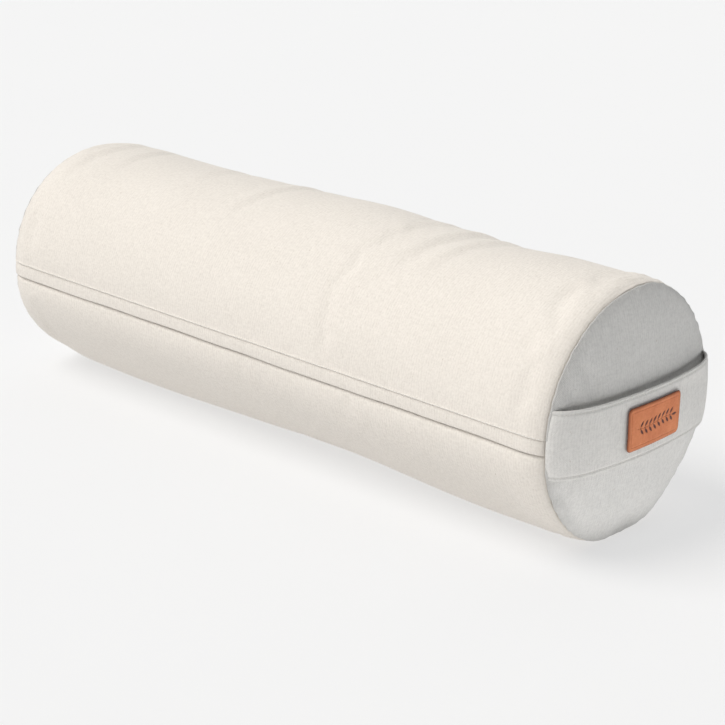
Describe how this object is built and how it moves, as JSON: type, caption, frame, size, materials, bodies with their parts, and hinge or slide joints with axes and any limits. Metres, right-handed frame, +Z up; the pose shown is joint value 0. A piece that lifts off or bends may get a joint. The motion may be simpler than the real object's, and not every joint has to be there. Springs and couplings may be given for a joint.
{
  "type": "bolster pillow",
  "caption": "Round bolster pillow: a zipped canvas cover with a placket over its zip and a carry strap on one end, round a zipped inner cushion of hulls.",
  "frame": {"origin": "on the surface that the pillow lies on, under the middle of its box", "axes": "+X along the pillow towards the end with the carry strap, +Y away from the placket and its zip, +Z up"},
  "size_m": [0.7009, 0.2205, 0.216],
  "materials": {
    "canvas": "matte",
    "end_canvas": "matte",
    "thread": "satin",
    "leather": "satin",
    "zip_cloth": "matte",
    "zip_nylon": "satin",
    "zip_metal": "satin",
    "lining": "matte",
    "hulls": "matte"
  },
  "bodies": {
    "cover": {"cover_body_panel": "canvas", "placket_topstitching": "thread", "front_end_panel": "end_canvas", "rear_end_panel": "end_canvas", "cover_zip_tape_upper": "zip_cloth", "cover_zip_tape_lower": "zip_cloth", "cover_zip_coil_upper": "zip_nylon", "cover_zip_coil_lower": "zip_nylon", "cover_zip_top_stop": "zip_metal", "cover_zip_bottom_stop": "zip_metal", "care_label": "lining", "liner_tube": "lining", "liner_front_end": "lining", "liner_rear_end": "lining", "liner_zip_tape_upper": "zip_cloth", "liner_zip_tape_lower": "zip_cloth", "liner_zip_coil_upper": "zip_nylon", "liner_zip_coil_lower": "zip_nylon", "liner_zip_top_stop": "zip_metal", "liner_zip_bottom_stop": "zip_metal", "hull_filling": "hulls"},
    "flap": {"placket_flap": "canvas"},
    "zip_slider": {"cover_zip_slider": "zip_metal"},
    "zip_pull": {"cover_zip_pull": "zip_metal"},
    "strap": {"carry_strap": "canvas", "strap_top_stitching": "thread", "strap_bottom_stitching": "thread", "leather_label": "leather", "label_stitching": "thread"},
    "liner_slider": {"liner_zip_slider": "zip_metal"}
  },
  "joints": [
    {"name": "placket_lift", "type": "hinge", "parent": "cover", "child": "flap", "pos_m": [-0.0048, -0.10886, 0.11161], "axis": [-1, 0, 0], "range_deg": [0, 90], "deforming": ["placket_flap"]},
    {"name": "cover_zip_slide", "type": "slide", "parent": "cover", "child": "zip_slider", "axis": [-1, 0, 0], "range_m": [0, 0.565]},
    {"name": "cover_pull_swing", "type": "hinge", "parent": "zip_slider", "child": "zip_pull", "pos_m": [0.2782, -0.10551, 0.10909], "axis": [0, 0.0292, 0.9996], "range_deg": [0, 176]},
    {"name": "strap_lift", "type": "slide", "parent": "cover", "child": "strap", "axis": [1, 0, 0], "range_m": [0, 0.018]},
    {"name": "liner_zip_slide", "type": "slide", "parent": "cover", "child": "liner_slider", "axis": [-1, 0, 0], "range_m": [0, 0.376]}
  ]
}
